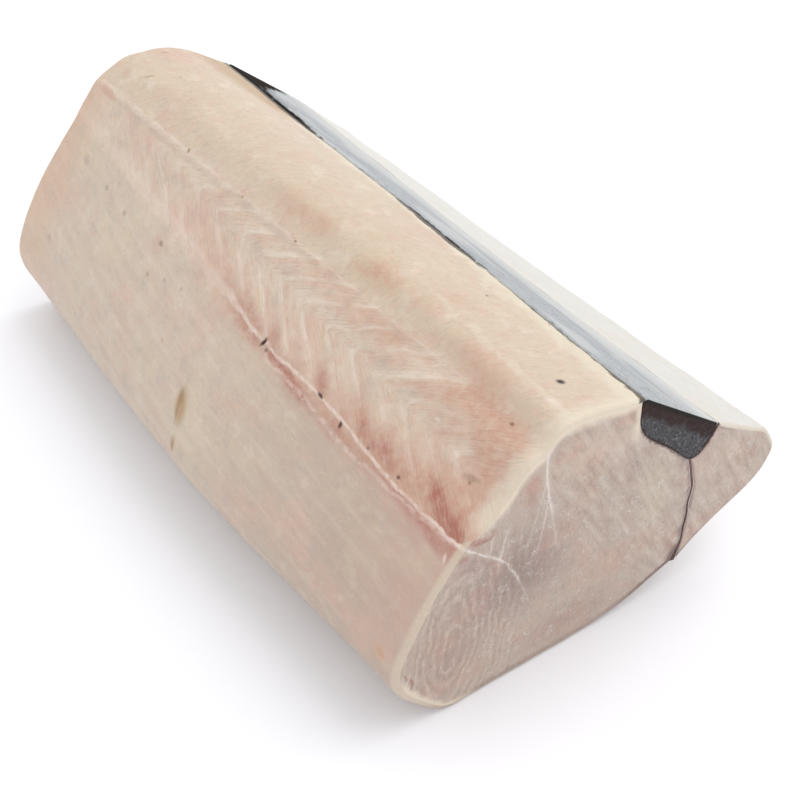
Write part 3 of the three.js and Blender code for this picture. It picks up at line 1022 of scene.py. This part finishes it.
def sideRise(co, away, off, pits):  # how far the surface stands out of the plain form
    rise = relief['swell'] * smoothNoise(co, relief['swellSize'])
    rise += relief['ripple'] * smoothNoise(co, relief['rippleSize'], 3.0)
    ease = clamped(co.x, -0.10, 0.02)
    rise -= relief['seamDip'] * ease * gaussian(away, relief['seamDipWidth'])
    rise += relief['stringRise'] * ease * gaussian(off, relief['stringWidth'])
    for x, pitAway in pits:
        dent = gaussian(co.x - x, relief['pitWidth']) * gaussian(away - pitAway, relief['pitWidth'])
        rise -= relief['pitDip'] * dent
    return rise


def buildLargeMuscle():
    lines = {'fromEdge': 'skinLeft', 'fromLip': 'lip', 'fromSeam': 'seam'}
    bm, fields, section = loft('large_muscle', lines)
    extra = {name: bm.verts.layers.float.new(name) for name in ('blood', 'blush', *strings)}
    paths = {name: [inMetres(*point) for point in points] for name, points in strings.items()}
    curves = []
    for name, (points, _, _) in cutFace['curves'].items():
        path = splinePoints([Vector(inMetres(*point)) for point in points], 18)
        curves.append((path, bm.verts.layers.float_vector.new(name)))
    pits = [inMetres(*mark[:2]) for _, marks in smallMarks for mark in marks if 'pit' in mark]
    for vert in bm.verts:
        co, cut = vert.co.copy(), vert[fields['cut']]
        away = {name: vert[fields[name]] for name in lines}
        offs = {name: away['fromSeam'] - valueAt(path, co.x) for name, path in paths.items()}
        for name, off in offs.items():
            vert[extra[name]] = off
        if cut > 0.5:
            for path, field in curves:
                vert[field] = (*offCurve(path, vert[section].y, vert[section].z), 0)
        if away['fromEdge'] > -0.002 and co.z > 0.001:  # neither in the bed nor underneath
            amounts = {name: stainAt(stain, co.x, away) for name, stain in stains.items()}
            tinge = gaussian(away['fromSeam'] - seamTinge['middle'], seamTinge['width'])
            tinge *= seamTinge['strength'] * clamped(co.x, -0.03, 0.03)
            strength = lerp(*seamTinge['bloodRise'], clamped(co.x, 0.11, 0.14))
            vert[extra['blood']] = min(1.0, strength * (amounts['bloodBelow'] + amounts['bloodAbove']))
            blushes = amounts['blushMiddle'] + amounts['blushSeam'] + amounts['blushTop']
            vert[extra['blush']] = min(1.0, blushes + tinge)
            rise = sideRise(co, away['fromSeam'], offs['seamString'], pits)
            vert.co += vert.normal * rise * lerp(1, relief['onCut'], cut)
        vert.co.z = max(0.0, vert.co.z)
    side = pieceMaterial('paleFlesh', sideLook, **fleshSides['finish'])
    face = pieceMaterial('paleFleshCut', cutLook, True, **fleshSides['finish'])
    finishPiece(bm, 'large_muscle', side, face)


tipSides = {
    'base': tone(203, 201, 194),
    'warm': tone(200, 184, 167),
    'pale': tone(216, 213, 206),
    'shade': tone(178, 164, 150),
}


def tipLook(tree):
    look = tipSides
    place = addNode(tree, 'ShaderNodeTexCoord').outputs['Object']
    x, y, z = separated(place)
    cloud = grain(place, 0.026, dimensions='3D')
    fibre = grain(combined(x, y), (0.005, 0.0012), radians(38), detail=4, wobble=0.6)
    coat = coating(look, 'base')
    coat('warm', smooth(cloud, 0.45, 0.75), 0.20)
    coat('warm', smooth(z, 0.054, 0.046))
    coat('pale', smooth(fibre, 0.50, 0.75), 0.35)
    coat('shade', smooth(fibre, 0.48, 0.25), 0.25)

    # a painted highlight on the rounded rim of the cut, and the bed of the dark muscle beside it
    cut = attribute(tree, 'cut')
    coat(fleshSides['rim'], smooth(cut, 0.0, 0.5), 0.55)
    _, sectionY, sectionZ = separated(attribute(tree, 'section', 'Vector'))
    bed = times(smooth(sectionY, 0.0566, 0.0552), smooth(sectionZ, 0.070, 0.073), smooth(cut, 0.0, 0.3))
    return coat(fleshSides['bed'], bed), times(fibre, 0.6)


def buildTipMuscle():
    bm, fields, _ = loft('tip_muscle', {})
    upward = Vector((0, 0.5, 0.85))
    for vert in bm.verts:
        if vert.normal.dot(upward) > 0.3:
            rise = relief['swell'] * smoothNoise(vert.co, relief['tipSwellSize'])
            vert.co += vert.normal * rise * lerp(1, relief['onCut'], vert[fields['cut']])
        vert.co.z = max(0.0, vert.co.z)
    side = pieceMaterial('tipFlesh', tipLook, **fleshSides['finish'])
    face = pieceMaterial('tipFleshCut', cutLook, False, **fleshSides['finish'])
    finishPiece(bm, 'tip_muscle', side, face)


# Dark muscle: charcoal, rough from the saw, and browner where it meets the skin and its sides
darkBlock = {
    'base': tone(72, 70, 72),
    'light': tone(140, 140, 142),
    'dark': tone(30, 27, 28),
    'brown': tone(46, 26, 20),
    'sawMarks': [(0.00022, 0.0016, 0.0), (0.00025, 0.004, 5.0)],  # height, size and seed
    'finish': {'roughness': 0.62, 'gloss': 0.2, 'relief': 0.0007},
}


def darkLook(tree):
    look = darkBlock
    y, z, plane = sectionPlane(tree)
    speckle = grain(plane, (0.0009, 0.0015), radians(12), detail=4, roughness=0.7, wobble=0.6)
    blotch = grain(plane, 0.0034, seed=(0.3, 0.2))
    coat = coating(look, 'base')
    coat('light', smooth(plus(speckle, sway(blotch, 0.5)), 0.50, 0.72), 0.8)
    coat('dark', smooth(speckle, 0.46, 0.28), 0.8)
    coat('dark', smooth(blotch, 0.52, 0.74), 0.6)
    loose = times(minus(plus(blotch, speckle), 1.0), 0.0062)
    skinLine = plus(times(minus(y, 0.0146), 0.656), times(minus(z, 0.120), 0.755))  # over 0 above the skin
    coat('brown', smooth(plus(skinLine, loose), -0.0072, -0.0044), 0.95)
    rim = smooth(plus(attribute(tree, 'depth'), times(loose, 0.5)), 0.0017, 0.0004)
    return coat('brown', rim, 0.7), speckle


def buildDarkMuscle():
    bm, fields, _ = loft('dark_muscle', {})
    for vert in bm.verts:
        if vert[fields['cut']] > 0.9:
            rough = sum(smoothNoise(vert.co, size, seed) * rise for rise, size, seed in darkBlock['sawMarks'])
            vert.co.x += rough * min(1.0, vert[fields['depth']] / 0.001)
    material = pieceMaterial('darkFleshSawn', darkLook, **darkBlock['finish'])
    finishPiece(bm, 'dark_muscle', material)


membranePiece = {
    'base': tone(92, 58, 58),
    'dark': tone(64, 40, 41),
    'light': tone(116, 84, 88),
    'finish': {'roughness': 0.5, 'gloss': 0.2, 'relief': 0.0003},
}


def membraneLook(tree):
    look = membranePiece
    section = attribute(tree, 'section', 'Vector')
    speckle = grain(section, 0.0016, detail=4, dimensions='3D')
    coat = coating(look, 'dark')
    coat('base', smooth(speckle, 0.35, 0.65))
    return coat('light', smooth(separated(section)[2], 0.052, 0.072), 0.8), speckle


def buildMembrane():
    bm, _, _ = loft('membrane', {})
    material = pieceMaterial('membraneDark', membraneLook, **membranePiece['finish'])
    finishPiece(bm, 'membrane', material)


skinSurface = {
    'silver': tone(179, 181, 182),
    'blue': tone(160, 164, 169),
    'white': tone(201, 201, 198),
    'dark': tone(80, 74, 64),
    'black': tone(30, 23, 16),
    'left': 0.0146, 'span': 0.0407,   # the strip's place in the section, from its left edge
    'finish': {'roughness': 0.40, 'coat': 0.03, 'gloss': 0.0, 'relief': 0.0003},
}


def skinLook(tree):
    look = skinSurface
    x, _, _ = separated(addNode(tree, 'ShaderNodeTexCoord').outputs['Object'])
    _, sectionY, _ = separated(attribute(tree, 'section', 'Vector'))
    across = calc('DIVIDE', plus(sectionY, -look['left']), look['span'])
    flat = combined(x, times(across, 0.05))
    streak = grain(flat, (0.030, 0.0011), detail=5, wobble=0.3)
    speckle = grain(flat, (0.0035, 0.0008), detail=4, seed=(0.2, 0.1))
    cloud = grain(flat, (0.040, 0.016), detail=2, seed=(0.6, 0.3))
    wander = sway(grain(flat, (0.012, 0.004), seed=(0.4, 0.4), dimensions='3D'), 0.12)
    rightness = plus(across, wander)
    coat = coating(look, 'blue')
    coat('silver', smooth(streak, 0.35, 0.65))
    coat('white', smooth(rightness, 0.50, 1.0), 0.8)
    coat('white', smooth(cloud, 0.45, 0.70), 0.45)
    specks = times(smooth(speckle, 0.54, 0.72), smooth(rightness, 0.75, 0.25), smooth(cloud, 0.66, 0.44))
    coat('dark', specks, 0.60)

    # the dark line on the left, which widens until it takes the whole far end: painted shade of the groove
    # beside the skin's edge, and dark tissue at the far end
    farness = smooth(x, -0.080, -0.100)
    fray = grain(flat, (0.005, 0.0024), detail=4, roughness=0.7, seed=(0.5, 0.1))
    ragged = times(minus(fray, 0.5), between(farness, 0.22, 0.56))
    lineDark = plus(smooth(x, -0.046, -0.074), times(smooth(x, -0.004, 0.010), smooth(x, 0.066, 0.046), 0.7))
    wedge = plus(between(lineDark, -0.02, 0.07), times(smooth(x, -0.100, -0.142), 1.1))
    leftLine = smooth(plus(across, ragged), plus(wedge, between(farness, 0.045, 0.150)), wedge)
    lineColour = tint(lineDark, look['dark'], look['black'])
    coat(lineColour, leftLine, between(lineDark, 0.75, 0.97))

    # a broken line on the right, a thread along the strip, and black where the skin is cut
    rightLine = times(smooth(plus(across, times(ragged, 0.3)), 0.955, 0.985),
                      smooth(grain(flat, (0.012, 0.02), detail=2), 0.46, 0.56))
    coat('dark', rightLine, between(farness, 0.4, 0.9))
    thread = times(band(plus(across, times(wander, 0.3)), 0.60, 0.004, 0.012), smooth(x, -0.02, 0.02),
                   smooth(streak, 0.40, 0.55))
    coat('dark', thread, 0.55)
    colour = coat('black', smooth(attribute(tree, 'cut'), 0.3, 0.8), 0.95)
    return colour, plus(streak, times(speckle, 0.5))


def buildSkin():
    bm, _, _ = loft('skin_strip', {})
    material = pieceMaterial('skinSilver', skinLook, **skinSurface['finish'])
    finishPiece(bm, 'skin_strip', material)


buildLargeMuscle()
buildTipMuscle()
buildDarkMuscle()
buildMembrane()
buildSkin()


# Floor, light and camera
studio = {
    'floorSize': 6.0,
    'floorColour': (0.862, 0.868, 0.905, 1),
    'floorRoughness': 0.45,
    'skyStrength': 1.05,
    'skyColour': (1.0, 1.0, 1.0, 1),
    'sunStrength': 1.0,
    'sunAngle': radians(50),
    'sunTilt': (radians(-30), radians(8), 0),
    'lens': 72,
    'sensorWidth': 36,
    'cameraPlace': (0.42619, -0.26870, 0.50579),
    'cameraTurn': (radians(45.3105), 0, radians(55.8931)),
}


def buildFloor():
    bm = bmesh.new()
    bmesh.ops.create_grid(bm, x_segments=1, y_segments=1, size=studio['floorSize'] / 2)
    mesh = bpy.data.meshes.new('floor')
    bm.to_mesh(mesh)
    bm.free()
    ground = bpy.data.objects.new('floor', mesh)
    bpy.context.scene.collection.objects.link(ground)
    paint, _, shader = newMaterial('floorPaint', roughness=studio['floorRoughness'])
    shader.inputs['Base Color'].default_value = studio['floorColour']
    mesh.materials.append(paint)


def buildLight():
    world = bpy.data.worlds.new('softWhite')
    world.use_nodes = True
    background = world.node_tree.nodes['Background']
    background.inputs['Color'].default_value = studio['skyColour']
    background.inputs['Strength'].default_value = studio['skyStrength']
    bpy.context.scene.world = world
    lamp = bpy.data.lights.new('softKey', 'SUN')
    lamp.energy = studio['sunStrength']
    lamp.angle = studio['sunAngle']
    key = bpy.data.objects.new('softKey', lamp)
    key.rotation_euler = studio['sunTilt']
    bpy.context.scene.collection.objects.link(key)


def buildCamera():
    lens = bpy.data.cameras.new('camera')
    lens.lens = studio['lens']
    lens.sensor_width = studio['sensorWidth']
    camera = bpy.data.objects.new('camera', lens)
    camera.location = studio['cameraPlace']
    camera.rotation_euler = studio['cameraTurn']
    bpy.context.scene.collection.objects.link(camera)
    bpy.context.scene.camera = camera
    bpy.context.scene.view_settings.view_transform = 'Standard'


buildFloor()
buildLight()
buildCamera()
print('floor, light and camera are set')
